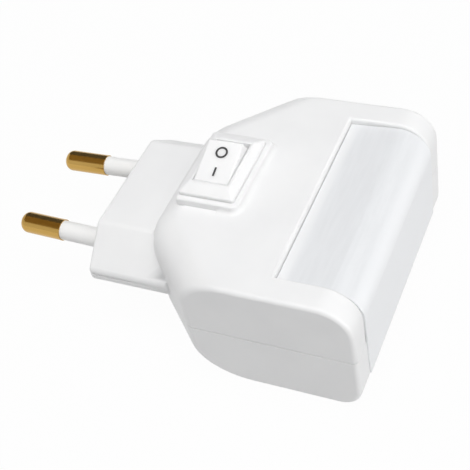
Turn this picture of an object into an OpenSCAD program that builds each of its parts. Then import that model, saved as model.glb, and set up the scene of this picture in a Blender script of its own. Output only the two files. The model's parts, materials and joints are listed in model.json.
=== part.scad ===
// Plug-in night light: two-pin mains plug, rocker switch on a plinth, and a lens that
// wraps over the top and front of a two-shell case.
// Millimetres. Origin: centre of the plug's engagement face, midway between the pins.
// +X points out of the wall, +Z up, towards the switch.

/* [Mains pins] */
// Diameter of the bare brass end
pin_d = 4; // [3.8:0.05:4.2]
// Length of a pin from the engagement face to its tip
pin_len = 19; // [17:0.5:20]
// Rounding of the pin's tip
pin_tip_r = 1.4; // [0.6:0.1:1.8]
// Distance between the pins' axes at the engagement face
pin_root_gap = 18.6; // [18:0.1:19.2]
// Distance between the pins' axes at their tips
pin_tip_gap = 17.5; // [17:0.1:18]
// Diameter of the brass under the sleeve
pin_core_d = 3; // [2.6:0.1:3.2]
// Diameter of the anchor ring on the pin inside the bridge
pin_ring_d = 5.2; // [4.6:0.1:5.6]
// Length of the anchor ring
pin_ring_len = 2.2; // [1.5:0.1:3]
// Diameter of the solder tail
pin_tail_d = 2.6; // [2:0.1:2.8]
// Length of the solder tail behind the bridge
pin_tail_len = 2.8; // [2:0.1:3.4]
// Outside diameter of the insulating sleeve
sleeve_d = 3.65; // [3.5:0.05:3.8]
// Length of the sleeve in front of the engagement face
sleeve_len = 10; // [8:0.5:11]
// Diameter of the flare at the sleeve's root
flare_d = 4.5; // [4:0.1:5]
// Length of the flare in front of the engagement face
flare_len = 0.9; // [0.5:0.1:1.5]
// Depth of the flare's collar behind the engagement face
collar_len = 0.8; // [0.5:0.1:1.2]

/* [Plug body] */
// Width of the six-sided engagement face
plug_w = 35.3; // [34.6:0.1:36]
// Height of the six-sided engagement face
plug_h = 13.7; // [13.1:0.1:14.3]
// Width of its flat top
plug_flat_w = 22; // [20:0.5:24]
// Height of the upright strip at each side
plug_edge_h = 2.3; // [1.6:0.1:3]
// Rounding of the plug body's long edges
plug_edge_r = 0.8; // [0.4:0.1:1.2]
// Length of the plug body to the lamp body's back wall
plug_len = 11.4; // [10.5:0.1:13]
// Thickness of the wall that the sleeves pass through
plug_face_t = 3; // [2.4:0.1:3.4]
// Thickness of the insulating bridge behind that wall
bridge_t = 5; // [4.4:0.1:5.4]
// Width of the insulating bridge
bridge_w = 27; // [25:0.5:29]

/* [Lamp body] */
// Length of the lamp body from its back wall to its front
body_len = 40.2; // [38:0.1:44]
// Width of the lamp body
body_w = 48.2; // [47:0.1:52]
// Height of the lamp body
body_h = 23.2; // [22:0.1:26]
// Width of the back wall, where the tapers start
back_w = 26.2; // [24:0.2:30]
// Plan radius between the back wall and each taper
back_r = 5; // [3:0.5:12]
// Plan radius between each taper and its side
shoulder_r = 1.5; // [1:0.1:4]
// Radius along the top edge of the back wall and tapers
top_r = 5; // [4:0.1:7]
// Radius along the bottom edge of the back wall and tapers
under_r = 7; // [5:0.1:8]
// Radius of the front's top corner
nose_r = 6; // [4.5:0.1:7]
// Radius of the front's bottom corner
toe_r = 4; // [3:0.1:5]
// Radius along the top and bottom edges of the sides
edge_r = 0.8; // [0.6:0.1:1.4]
// Thickness of the case walls
wall = 2; // [1.6:0.1:2.2]

/* [Lens] */
// Distance of the window's back edge from the front
window_len = 14.2; // [12:0.1:16]
// Width of the case's rim at each side of the window
rim_w = 5; // [4.4:0.1:6.5]
// Depth of the window's bottom edge below the parting plane
window_drop = 8.4; // [6:0.1:8.8]
// Thickness of the lens
lens_t = 1.6; // [1.2:0.1:2]
// Width of the flange that holds the lens behind the window's edges
lens_flange = 1.6; // [1.2:0.1:1.9]
// Depth of the lens below the casing at its back edge
lens_sink = 1.1; // [0.6:0.1:1.3]
// Height of the lens above the casing's front
lens_proud = 0.2; // [0:0.05:0.4]
// Gap around the lens
lens_gap = 0.1; // [0.1:0.05:0.25]

/* [Switch] */
// Distance of the switch centre behind the lamp body's front
switch_back = 31; // [30.4:0.1:31.4]
// Sideways offset of the switch centre
switch_y = 0.8; // [-1:0.1:1]
// Length of the bezel, across the lamp body
bezel_l = 15.6; // [15:0.1:16.4]
// Width of the bezel, along the lamp body
bezel_w = 10.2; // [9.9:0.1:10.6]
// Height of the bezel's outer edge
bezel_edge_h = 0.7; // [0.5:0.05:1]
// Rise of the bezel from its outer edge to its opening
bezel_rise = 0.8; // [0.4:0.05:1]
// Height of the plinth moulded under the bezel
plinth_h = 1.3; // [1:0.1:1.6]
// Width of the ledge around the bezel
plinth_ledge = 1; // [0.6:0.1:1.3]
// Thickness of the panel that the switch clips into
panel_t = 2; // [1.7:0.1:2.2]
// Length of the switch body below the bezel
housing_l = 13; // [12.6:0.1:13.4]
// Width of the switch body below the bezel
housing_w = 8.6; // [8.4:0.1:8.9]
// Length of the opening that the rocker moves in
opening_l = 10.5; // [10.4:0.05:10.6]
// Width of the opening that the rocker moves in
opening_w = 6.5; // [6.2:0.1:6.7]
// Depth of the rocker's pivot below the opening's rim
pivot_drop = 2.8; // [2.7:0.05:2.9]
// Diameter of the rocker's pivot stubs
pivot_d = 1.6; // [1.3:0.05:1.8]
// Tilt of the rocker to each side of level
rocker_tilt = 17; // [14:0.5:17.5]
// Angle of each half of the rocker's dished top
rocker_dish = 1; // [0.5:0.5:3]
// Half length of the rocker's top
rocker_reach = 4.15; // [3.9:0.05:4.2]
// Height of the dish's valley above the pivot
rocker_h = 4; // [3.9:0.05:4.05]
// Radius of the rocker's ends about the pivot
rocker_end_r = 5.05; // [4.8:0.05:5.1]
// Gap at each side of the rocker
rocker_gap = 0.15; // [0.1:0.05:0.25]
// Stroke width of the marks on the rocker
mark_stroke = 0.34; // [0.3:0.02:0.4]
// Radius of the O mark
mark_r = 1.1; // [1:0.05:1.3]
// Length of the I mark
mark_l = 1.7; // [1.5:0.1:2.1]

/* [Switch works] */
// Distance of the plunger's tip from the pivot
plunger_reach = 5.2; // [5:0.05:5.4]
// Diameter of the spring plunger
plunger_d = 2; // [1.8:0.05:2.1]
// Thickness of the see-saw contact
seesaw_t = 0.4; // [0.3:0.05:0.5]
// Half length of the see-saw contact
seesaw_reach = 4.2; // [3.8:0.05:4.4]
// Width of the see-saw contact
seesaw_w = 3; // [2.4:0.1:3.6]
// Tilt of the see-saw contact to each side of level
seesaw_tilt = 6.5; // [5.5:0.1:7]
// Rise of each wing of the see-saw contact
seesaw_dish = 15.8; // [15:0.1:16.5]
// Thickness of the terminal blades
blade_t = 0.8; // [0.6:0.05:0.9]
// Width of the terminal blades
blade_w = 2.8; // [2.4:0.1:3.4]
// Length of the terminal blades below the switch body
blade_len = 5.4; // [4:0.1:6.4]

/* [Circuit] */
// Length of the circuit board along the lamp body
board_l = 12; // [11:0.1:12.4]
// Width of the circuit board
board_w = 32; // [30:0.5:34]
// Thickness of the circuit board
board_t = 1.6; // [1:0.1:2]
// Height of the circuit board's underside above the case floor
board_lift = 4.2; // [3.6:0.1:5]
// Gap between the switch body and the circuit board
board_back = 1.9; // [1.4:0.1:2.2]
// Diameter of each light-emitting diode
led_d = 5; // [4.8:0.1:5.2]
// Length of each diode from its rim to the tip of its dome
led_len = 8.6; // [8:0.1:9]
// Distance between neighbouring diodes
led_pitch = 11; // [10:0.5:12]
// Height of the diodes' axes above the board
led_lift = 4.2; // [3.4:0.1:5]
// Length of the film capacitor, across the board
film_l = 12.5; // [11:0.5:13]
// Thickness of the film capacitor
film_t = 6; // [5:0.5:7]
// Height of the film capacitor
film_h = 10.5; // [9:0.5:11.5]
// Diameter of the smoothing capacitor
can_d = 6.3; // [5:0.1:6.5]
// Height of the smoothing capacitor
can_h = 10.5; // [8:0.5:11.5]
// Length of the bridge rectifier, across the board
chip_l = 6.2; // [4.6:0.1:6.6]
// Width of the bridge rectifier
chip_w = 5.4; // [4.6:0.1:6]
// Height of the bridge rectifier
chip_h = 3.2; // [2.4:0.1:3.6]
// Diameter of the resistors
resistor_d = 2.2; // [1.8:0.1:2.6]
// Length of the resistors without their leads
resistor_l = 4.6; // [4:0.1:5.4]
// Length of the resistors with their leads
resistor_reach = 6.4; // [6:0.1:7]
// Distance of the resistors behind the board's front edge
resistor_in = 3.1; // [3:0.1:3.4]
// Diameter of the components' leads
lead_d = 0.5; // [0.4:0.05:0.6]
// Free board between neighbouring components
part_gap = 0.5; // [0.3:0.1:0.8]
// Diameter of the wires' insulation
wire_d = 1.3; // [1:0.1:1.5]

/* [Case screws] */
// Distance of the screws behind the lamp body's front
screw_back = 29; // [28.6:0.1:30]
// Distance between the two screws
screw_gap = 25; // [24.4:0.1:27]
// Diameter of the screws' shanks
screw_d = 2.4; // [2:0.1:2.6]
// Diameter of the screws' heads
screw_head_d = 4.6; // [4:0.1:4.8]
// Height of the screws' heads
screw_head_h = 1.7; // [1.4:0.1:2]
// Length of the screws under the head
screw_len = 12; // [10:0.5:13]
// Outside diameter of the screw bosses
boss_d = 6.6; // [6.2:0.1:6.8]

/* [Hidden] */

fine = 48;             // facets asked of round functional parts
far = 200;             // larger than any part
fit = 0.05;            // clearance of a part in its seat
seam = 0.02;           // clearance of moulded-in parts

pin_lean = atan((pin_root_gap - pin_tip_gap) / 2 / pin_len);
sleeve_bite = 0.6;     // length of the sleeve inside the bridge
pin_ring_at = plug_face_t + 1.2;
bridge_at = plug_face_t + fit;
bridge_end = bridge_at + bridge_t;
pin_tail_end = bridge_end + pin_tail_len;

body_front = plug_len + body_len;
top_z = body_h / 2;
taper_c = plug_len - back_w / 2;

window_back = body_front - window_len;
window_w = body_w - 2 * rim_w;
pane_r = nose_r - lens_sink / 4;
flange_in = wall + lens_gap;
flange_t = 1.2;
flange_side = 1.2;
flange_x = body_front - flange_in - flange_t;

switch_x = body_front - switch_back;
panel_z = top_z + plinth_h;
rim_z = panel_z + bezel_edge_h + bezel_rise;
pivot_z = rim_z - pivot_drop;
housing_floor_t = 1.2;
seesaw_swing = 0.9;    // room under the see-saw's valley for its wings
fulcrum_z = pivot_z - plunger_reach - 2 * fit - seesaw_t;
floor_z = fulcrum_z - seesaw_swing;
housing_end_z = floor_z - housing_floor_t;
rocker_w = opening_w - 2 * rocker_gap;
rocker_skin = 0.9;
hollow_top = 2.6;
hollow_end = 1;
pivot_bite = 0.7;      // depth of the pivot stubs in the housing
stem_d = plunger_d + 1.3;
stem_foot = -3.9;
stem_bore_top = 1.8;
plunger_top = -2.2;
clip_h = 1.6;
clip_out = 0.55;
mark_depth = 0.15;
mark_cut = 0.1;        // height of the marks' seats above the marks
o_mark_at = mark_r + 0.8;
i_mark_at = mark_r + 0.95;
contact_y = seesaw_reach - 0.5;
contact_z = fulcrum_z + contact_y * tan(seesaw_dish - seesaw_tilt);

board_x0 = switch_x + housing_w / 2 + board_back;
board_x1 = board_x0 + board_l;
case_floor_z = -top_z + wall;
board_z0 = case_floor_z + board_lift;
board_z1 = board_z0 + board_t;
led_z = board_z1 + led_lift;
led_rim_x = board_x1 - 1.4;
post_d = 3;
post_in = 0.3;         // board beyond the posts
parts_y = board_w / 2 - post_in - post_d - part_gap;

screw_x = body_front - screw_back;
screw_ledge = 5.6;     // from the case's underside to the screw head's seat
head_z = -top_z + screw_ledge;
shank_gap = 0.2;
head_gap = 0.3;

// ---- outlines -------------------------------------------------------------

function unit(v) = v / norm(v);

// Points of an arc of radius r that rounds corner q between a and b
function corner(a, q, b, r, n) = r <= 0 ? [q] :
    let (u = unit(a - q), v = unit(b - q), half = acos(u * v) / 2,
         c = q + unit(u + v) * r / sin(half),
         s = q + u * r / tan(half) - c, e = q + v * r / tan(half) - c,
         from = atan2(s[1], s[0]), raw = atan2(e[1], e[0]) - from,
         sweep = raw > 180 ? raw - 360 : raw < -180 ? raw + 360 : raw)
    [for (i = [0:n]) c + r * [cos(from + sweep * i / n), sin(from + sweep * i / n)]];

// Closed outline with each corner rounded by its own radius
function outline(points, radii, n = 8) =
    let (m = len(points))
    [for (i = [0:m - 1])
        each corner(points[(i + m - 1) % m], points[i], points[(i + 1) % m], radii[i], n)];

function plan_points(t) =
    let (xb = plug_len + t, c = taper_c + t * sqrt(2), ys = body_w / 2 - t, xf = body_front - t)
    outline([[xb, xb - c], [xb, c - xb], [c + ys, -ys], [xf, -ys], [xf, ys], [c + ys, ys]],
        [back_r - t, back_r - t, max(shoulder_r - t, 0.3), max(edge_r - t, 0.3),
         max(edge_r - t, 0.3), max(shoulder_r - t, 0.3)]);

function side_points(t) =
    let (xb = plug_len + t, xf = body_front - t, z = top_z - t)
    outline([[xb, z], [xb, -z], [xf, -z], [xf, z]],
        [top_r - t, under_r - t, toe_r - t, nose_r - t], 12);

function taper_points(t) =
    let (u = taper_c / sqrt(2) + t, z = top_z - t)
    outline([[u, z], [u, -z], [far, -z], [far, z]], [top_r - t, under_r - t, 0, 0], 12);

function hex_points(t) =
    let (slope = (plug_h - plug_edge_h) / (plug_w - plug_flat_w), k = sqrt(1 + slope * slope),
         y = plug_w / 2 - t, z = plug_h / 2 - t,
         ze = plug_edge_h / 2 + slope * t - t * k,
         yf = plug_flat_w / 2 + (t - t * k) / slope)
    outline([[y, ze], [yf, z], [-yf, z], [-y, ze], [-y, -ze], [-yf, -z], [yf, -z], [y, -ze]],
        [for (i = [1:8]) max(plug_edge_r - t, 0)], 4);

// Side view of the lens's outer face, moved in by t
function pane_points(t) =
    let (xf = body_front + lens_proud - t, x0 = window_back + lens_gap)
    outline([[x0, top_z - lens_sink - t], [xf, top_z - lens_sink / 2 - t],
             [xf, -window_drop + lens_gap], [x0, -window_drop + lens_gap]],
        [0, pane_r - t, 0, 0], 12);

module along_x(l) rotate([90, 0, 90]) linear_extrude(l) children();
module along_y(l) rotate([90, 0, 0]) linear_extrude(l, center = true) children();

// ---- case -----------------------------------------------------------------

module body_block(t) {
    intersection() {
        translate([0, 0, -far / 2]) linear_extrude(far) polygon(plan_points(t));
        along_y(far) polygon(side_points(t));
        along_x(far) polygon(outline(
            [for (c = [[1, 1], [-1, 1], [-1, -1], [1, -1]])
                [c[0] * (body_w / 2 - t), c[1] * (top_z - t)]],
            [for (i = [1:4]) max(edge_r - t, 0.3)], 6));
        rotate([0, 0, 45]) along_y(far) polygon(taper_points(t));
        rotate([0, 0, -45]) along_y(far) polygon(taper_points(t));
    }
}

module plug_block(t, from, to) {
    translate([from, 0, 0]) along_x(to - from) polygon(hex_points(t));
}

module plinth() {
    back_ledge = 0.3;
    back_corner_r = 0.6;
    front_corner_r = 1.4;
    x0 = switch_x - bezel_w / 2 - back_ledge;
    x1 = switch_x + bezel_w / 2 + plinth_ledge;
    y = bezel_l / 2 + plinth_ledge;
    translate([0, switch_y, top_z - top_r / 2]) linear_extrude(plinth_h + top_r / 2)
        polygon(outline([[x0, -y], [x1, -y], [x1, y], [x0, y]],
            [back_corner_r, front_corner_r, front_corner_r, back_corner_r], 6));
}

// The case before it is split: plug, body and plinth, hollowed, with window and panel hole
module case_wall() {
    plug_root = taper_c + plug_w / 2 + wall;
    pocket_side = 0.6;
    pocket_end = 1.7;
    difference() {
        union() {
            plug_block(0, 0, plug_root);
            body_block(0);
            plinth();
        }
        plug_block(wall, plug_face_t, plug_root + wall);
        body_block(wall);
        translate([window_back, -window_w / 2, -window_drop])
            cube([far, window_w, far]);
        translate([switch_x, switch_y, 0]) {
            hole = [housing_w + 2 * fit, housing_l + 2 * fit, far];
            translate([-hole[0] / 2, -hole[1] / 2, 0]) cube(hole);
            pocket = [housing_w + 2 * pocket_side, housing_l + 2 * pocket_end, panel_z - panel_t];
            translate([-pocket[0] / 2, -pocket[1] / 2, 0]) cube(pocket);
        }
        for (side = [-1, 1]) pin_frame(side) translate([0, 0, -1]) {
            cylinder(h = plug_face_t + 2, d = sleeve_d + 2 * fit, $fn = fine);
            cylinder(h = collar_len + fit + 1, d = flare_d + 2 * fit, $fn = fine);
        }
    }
}

// Ribs that hold the pin bridge against the plug's face
module bridge_rib(up) {
    rib_t = 1.4;
    rib_w = 11;
    h = plug_h / 2 - wall / 2;
    translate([bridge_end + fit, -rib_w / 2, up > 0 ? fit : -h]) cube([rib_t, rib_w, h - fit]);
}

// A pair of posts for the circuit board, at the distance x from the face
module board_posts(x, z0, z1) {
    y = board_w / 2 - post_d / 2 - post_in;
    for (side = [-1, 1]) translate([x, side * y, z0])
        cylinder(h = z1 - z0, d = post_d, $fn = fine);
}

module at_screws() {
    for (y = [-1, 1]) translate([screw_x, y * screw_gap / 2, 0]) children();
}

module upper_shell() {
    color("white") difference() {
        union() {
            intersection() {
                case_wall();
                translate([-far / 2, -far / 2, 0]) cube(far);
            }
            bridge_rib(1);
            at_screws() cylinder(h = top_z - wall / 2, d = boss_d, $fn = fine);
            board_posts(board_x0 + post_d / 2, board_z1 + fit, top_z - wall / 2);
        }
        at_screws() translate([0, 0, -1])
            cylinder(h = head_z + screw_len + 2, d = screw_d + 2 * fit, $fn = fine);
    }
}

module lower_shell() {
    color("white") difference() {
        union() {
            intersection() {
                case_wall();
                translate([-far / 2, -far / 2, -far]) cube(far);
            }
            bridge_rib(-1);
            at_screws() translate([0, 0, -top_z + wall / 2])
                cylinder(h = top_z - wall / 2, d = boss_d, $fn = fine);
            for (x = [board_x0 + post_d / 2, board_x1 - post_d / 2])
                board_posts(x, case_floor_z - wall / 2, board_z0 - fit);
        }
        at_screws() translate([0, 0, -far]) {
            cylinder(h = far + 1, d = screw_d + 2 * shank_gap, $fn = fine);
            cylinder(h = far + head_z, d = screw_head_d + 2 * head_gap, $fn = fine);
        }
    }
}

module lens() {
    color("lavender", 0.6) {
        clear_w = window_w - 2 * lens_gap;
        inner_w = clear_w - 2 * flange_side;
        difference() {
            union() {
                along_y(clear_w) difference() {
                    polygon(pane_points(0));
                    polygon(side_points(flange_in + flange_t));
                }
                along_y(clear_w + 2 * lens_flange) intersection() {
                    difference() {
                        polygon(side_points(flange_in));
                        polygon(side_points(flange_in + flange_t));
                    }
                    union() {
                        translate([window_back - lens_flange, 0]) square([far, far]);
                        translate([flange_x, -window_drop - lens_flange / 2])
                            square([far, far]);
                    }
                }
            }
            along_y(inner_w) intersection() {
                polygon(pane_points(lens_t));
                translate([window_back + flange_side + lens_gap, -window_drop + flange_side])
                    square([far, far]);
            }
        }
    }
}

// ---- pins -----------------------------------------------------------------

// Local z runs along a pin, inwards, from zero at the engagement face
module pin_frame(side) {
    translate([0, side * pin_root_gap / 2, 0]) rotate([0, 90, side * pin_lean]) children();
}

// A turned solid with stepped radii, from [[z, r], ...]; the tip is rounded
module pin_shape(grow) {
    r = pin_d / 2;
    steps = [
        [-sleeve_len + grow, r + grow],
        [-sleeve_len + grow, pin_core_d / 2 + grow],
        [pin_ring_at - grow, pin_core_d / 2 + grow],
        [pin_ring_at - grow, pin_ring_d / 2 + grow],
        [pin_ring_at + pin_ring_len + grow, pin_ring_d / 2 + grow],
        [pin_ring_at + pin_ring_len + grow, pin_tail_d / 2 + grow],
        [pin_tail_end + grow, pin_tail_d / 2 + grow],
        [pin_tail_end + grow, 0]];
    tip = [for (a = [0:10:90])
        [r - pin_tip_r + pin_tip_r * sin(a), -pin_len + pin_tip_r - pin_tip_r * cos(a)]];
    rotate_extrude($fn = fine)
        polygon(concat([[0, -pin_len]], tip, [for (s = steps) [s[1], s[0]]]));
}

module sleeve_shape(grow) {
    r = sleeve_d / 2 + grow;
    flare_r = flare_d / 2 + grow;
    end = plug_face_t + sleeve_bite + grow;
    rotate_extrude($fn = fine) polygon([
        [0, -sleeve_len - grow], [r, -sleeve_len - grow], [r, -flare_len], [flare_r, 0],
        [flare_r, collar_len], [r, collar_len], [r, end], [0, end]]);
}

module pin(side) {
    color("goldenrod") pin_frame(side) pin_shape(0);
}

module sleeve(side) {
    color("whitesmoke") pin_frame(side) difference() {
        sleeve_shape(0);
        translate([0, 0, -sleeve_len - 1])
            cylinder(h = far, d = pin_core_d + 2 * seam, $fn = fine);
    }
}

module pin_bridge() {
    color("gainsboro") difference() {
        intersection() {
            plug_block(wall + fit, bridge_at, bridge_end);
            cube([far, bridge_w, far], center = true);
        }
        for (side = [-1, 1]) pin_frame(side) {
            pin_shape(seam);
            sleeve_shape(seam);
        }
    }
}

// ---- switch ---------------------------------------------------------------

module at_switch(z) translate([switch_x, switch_y, z]) children();

module bezel_block() {
    h = bezel_edge_h + bezel_rise;
    lip = 0.5;
    intersection() {
        along_y(bezel_l) polygon([[-bezel_w / 2, 0], [bezel_w / 2, 0],
            [bezel_w / 2, bezel_edge_h], [opening_w / 2 + lip, h],
            [-opening_w / 2 - lip, h], [-bezel_w / 2, bezel_edge_h]]);
        translate([-far / 2, 0, 0]) along_x(far) polygon([[-bezel_l / 2, 0], [bezel_l / 2, 0],
            [bezel_l / 2, bezel_edge_h], [opening_l / 2 + lip, h],
            [-opening_l / 2 - lip, h], [-bezel_l / 2, bezel_edge_h]]);
    }
}

module blade_slots() {
    for (y = [0, contact_y])
        translate([-blade_w / 2 - seam, y - blade_t / 2 - seam, -far / 2])
            cube([blade_w + 2 * seam, blade_t + 2 * seam, far]);
}

module switch_housing() {
    clip_z = panel_z - panel_t - fit;
    color("snow") difference() {
        union() {
            at_switch(panel_z + seam) bezel_block();
            at_switch(housing_end_z) translate([-housing_w / 2, -housing_l / 2, 0])
                cube([housing_w, housing_l, panel_z + 0.3 - housing_end_z]);
            at_switch(clip_z) along_clips() polygon([[-0.1, 0], [clip_out, 0],
                [clip_out, -0.4], [0, -clip_h - 0.4], [-0.1, -clip_h - 0.4]]);
        }
        at_switch(floor_z) translate([-opening_w / 2, -opening_l / 2, 0])
            cube([opening_w, opening_l, far]);
        at_switch(pivot_z) rotate([0, 90, 0])
            cylinder(h = housing_w - 0.4, d = pivot_d + 2 * fit, center = true, $fn = fine);
        at_switch(0) blade_slots();
    }
}

// Snap wedges on both ends of the switch body
module along_clips() {
    for (side = [-1, 1]) rotate([0, 0, side * 90])
        translate([housing_l / 2, 0, 0]) along_y(3) children();
}

// Frame of the rocker: origin on the pivot, turned to the ON position
module rocker_frame() at_switch(pivot_z) rotate([rocker_tilt, 0, 0]) children();

// Side view of the rocker, moved in by t. Each end is an arc about the pivot, and runs on
// straight from the arc to the top's corner.
function rocker_points(t) =
    let (top = rocker_h + rocker_reach * tan(rocker_dish),
         corner = [rocker_reach - t, top - t - t * tan(rocker_dish)],
         foot = -9, steps = 6,
         bend = atan(top / rocker_reach) - acos(rocker_end_r / norm([rocker_reach, top])),
         end = [for (i = [0:steps]) let (a = bend + (foot - bend) * i / steps)
             (rocker_end_r - t) * [cos(a), sin(a)]])
    concat([[0, rocker_h - t], corner], end,
        [for (i = [steps:-1:0]) [-end[i][0], end[i][1]]], [[-corner[0], corner[1]]]);

module mark_seat(side, along) {
    rotate([side * rocker_dish, 0, 0]) translate([0, side * along, rocker_h - mark_depth])
        children();
}

module o_mark(grow) {
    difference() {
        cylinder(h = mark_depth + grow, r = mark_r + grow / 10, $fn = fine);
        translate([0, 0, -1]) cylinder(h = 2, r = mark_r - mark_stroke - grow / 10, $fn = fine);
    }
}

module i_mark(grow) {
    w = mark_stroke + grow / 5;
    l = mark_l + grow / 5;
    translate([-w / 2, -l / 2, 0]) cube([w, l, mark_depth + grow]);
}

// The hollow under the rocker's top
module rocker_hollow() {
    inner_w = rocker_w - 2 * rocker_skin;
    translate([-inner_w / 2, 0, 0]) {
        intersection() {
            along_x(inner_w) polygon(rocker_points(rocker_skin));
            translate([0, -far / 2, -far]) cube([far, far, far + hollow_top]);
        }
        translate([0, hollow_end - rocker_end_r, -far])
            cube([inner_w, 2 * (rocker_end_r - hollow_end), far]);
    }
}

module rocker() {
    stub_l = rocker_skin + rocker_gap + pivot_bite;
    color("snow") rocker_frame() difference() {
        union() {
            difference() {
                translate([-rocker_w / 2, 0, 0]) along_x(rocker_w) polygon(rocker_points(0));
                rocker_hollow();
            }
            for (side = [-1, 1]) scale([side, 1, 1])
                translate([rocker_w / 2 - rocker_skin, 0, 0]) rotate([0, 90, 0])
                    cylinder(h = stub_l, d = pivot_d, $fn = fine);
            translate([0, 0, stem_foot])
                cylinder(h = hollow_top + rocker_skin / 2 - stem_foot, d = stem_d, $fn = fine);
        }
        translate([0, 0, stem_foot - 1])
            cylinder(h = stem_bore_top - stem_foot + 1, d = plunger_d + 2 * fit, $fn = fine);
        mark_seat(1, o_mark_at) o_mark(mark_cut);
        mark_seat(-1, i_mark_at) i_mark(mark_cut);
    }
}

module mark_off() color("dimgray") rocker_frame() mark_seat(1, o_mark_at) o_mark(0);

module mark_on() color("dimgray") rocker_frame() mark_seat(-1, i_mark_at) i_mark(0);

module switch_plunger() {
    r = plunger_d / 2;
    color("gainsboro") rocker_frame() {
        translate([0, 0, -plunger_reach + r])
            cylinder(h = plunger_top + plunger_reach - r, r = r, $fn = fine);
        translate([0, 0, -plunger_reach + r]) intersection() {
            sphere(r = r, $fn = fine);
            translate([-r, -r, -2 * r]) cube(2 * r);
        }
    }
}

module switch_spring() {
    turns = 6;
    spring_wire = 0.3;
    r = plunger_d / 2 - spring_wire / 2 - fit;
    z0 = plunger_top + spring_wire / 2 + seam;
    rise = stem_bore_top - spring_wire - 2 * seam - plunger_top;
    color("silver") rocker_frame() tube([for (i = [0:16 * turns])
        [r * cos(22.5 * i), r * sin(22.5 * i), z0 + rise * i / (16 * turns)]], spring_wire, 6);
}

// Half profile of the see-saw, mirrored to both wings, turned about its valley
module seesaw_contact() {
    rise = seesaw_reach * tan(seesaw_dish);
    thick = seesaw_t / cos(seesaw_dish);
    color("peru") at_switch(fulcrum_z) rotate([-seesaw_tilt, 0, 0])
        translate([-seesaw_w / 2, 0, 0]) along_x(seesaw_w) polygon([
            [0, 0], [seesaw_reach, rise], [seesaw_reach, rise + thick],
            [0, seesaw_t], [-seesaw_reach, rise + thick], [-seesaw_reach, rise]]);
}

// A blade through the switch's floor, up to the height top
module blade(y, top) {
    at_switch(0) translate([-blade_w / 2, y - blade_t / 2, housing_end_z - blade_len])
        cube([blade_w, blade_t, top - housing_end_z + blade_len]);
}

module common_terminal() {
    ridge = 0.3;
    edge = 0.08;
    color("goldenrod") {
        blade(0, fulcrum_z - fit - ridge);
        at_switch(fulcrum_z - fit - ridge) translate([-blade_w / 2, 0, 0]) along_x(blade_w)
            polygon([[-blade_t / 2, 0], [blade_t / 2, 0], [edge, ridge], [-edge, ridge]]);
    }
}

module load_terminal() {
    pip_h = 0.5;
    pip_gap = 0.12;
    top = contact_z - pip_h - pip_gap;
    color("goldenrod") {
        blade(contact_y, top);
        at_switch(top) translate([0, contact_y, 0])
            cylinder(h = pip_h, d = blade_t, $fn = fine);
    }
}

// ---- circuit --------------------------------------------------------------

module circuit_board() {
    color("darkgreen") translate([board_x0, -board_w / 2, board_z0])
        cube([board_l, board_w, board_t]);
}

module at_led(place) translate([led_rim_x, place * led_pitch, led_z]) children();

module led(place) {
    r = led_d / 2;
    rim_t = 1;
    rim_out = 0.4;
    color("ivory") at_led(place) rotate([0, 90, 0]) {
        cylinder(h = rim_t, r = r + rim_out, $fn = fine);
        cylinder(h = led_len - r, r = r, $fn = fine);
        translate([0, 0, led_len - r]) sphere(r = r, $fn = fine);
    }
}

module led_leads() {
    lead_pitch = 2.54;
    back = 3 * lead_d;
    color("silver") for (place = [-1:1], side = [-1, 1])
        at_led(place) translate([-back - seam, (side * lead_pitch - lead_d) / 2, -lead_d / 2]) {
            cube([back, lead_d, lead_d]);
            translate([0, 0, board_z1 + seam - led_z + lead_d / 2])
                cube([lead_d, lead_d, led_z - board_z1 - seam]);
        }
}

module on_board(along, across) {
    translate([board_x0 + along, across, board_z1 + seam]) children();
}

module film_capacitor() {
    color("firebrick") on_board(part_gap, -parts_y) cube([film_t, film_l, film_h]);
}

module smoothing_capacitor() {
    color("midnightblue")
        on_board(part_gap + can_d / 2, film_l + part_gap + can_d / 2 - parts_y)
            cylinder(h = can_h, d = can_d, $fn = fine);
}

module bridge_rectifier() {
    color("dimgray") on_board(post_d + part_gap, (led_pitch + resistor_reach) / 2 + part_gap)
        cube([chip_w, chip_l, chip_h]);
}

module resistor(tone, side) {
    rise = resistor_d / 2 + lead_d / 2;
    foot = (resistor_reach - lead_d) / 2;
    color(tone) on_board(board_l - resistor_in, side * led_pitch / 2) {
        translate([0, 0, rise]) rotate([90, 0, 0])
            cylinder(h = resistor_l, d = resistor_d, center = true, $fn = fine);
        translate([-lead_d / 2, -resistor_reach / 2, rise - lead_d / 2])
            cube([lead_d, resistor_reach, lead_d]);
        for (end = [-1, 1]) translate([-lead_d / 2, end * foot - lead_d / 2, 0])
            cube([lead_d, lead_d, rise]);
    }
}

module surge_resistor() resistor("skyblue", -1);

module bleed_resistor() resistor("tan", 1);

// ---- wires ----------------------------------------------------------------

function tangent(p, i) = unit(p[min(i + 1, len(p) - 1)] - p[max(i - 1, 0)]);

// Normals carried along a path without twisting
function normals(p, n, i = 0) =
    let (t = tangent(p, i), m = unit(n - (n * t) * t))
    i == len(p) - 1 ? [m] : concat([m], normals(p, m, i + 1));

// A round tube of diameter d along the points p
module tube(p, d, sides = 8) {
    n = normals(p, [0.1, 0.2, 1]);
    rings = [for (i = [0:len(p) - 1], k = [0:sides - 1])
        let (b = cross(tangent(p, i), n[i]))
        p[i] + d / 2 * (cos(360 * k / sides) * n[i] + sin(360 * k / sides) * b)];
    last = (len(p) - 1) * sides;
    polyhedron(rings, concat(
        [[for (k = [0:sides - 1]) k]],
        [for (i = [0:len(p) - 2], k = [0:sides - 1])
            [i * sides + (k + 1) % sides, i * sides + k,
             (i + 1) * sides + k, (i + 1) * sides + (k + 1) % sides]],
        [[for (k = [sides - 1:-1:0]) last + k]]));
}

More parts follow.
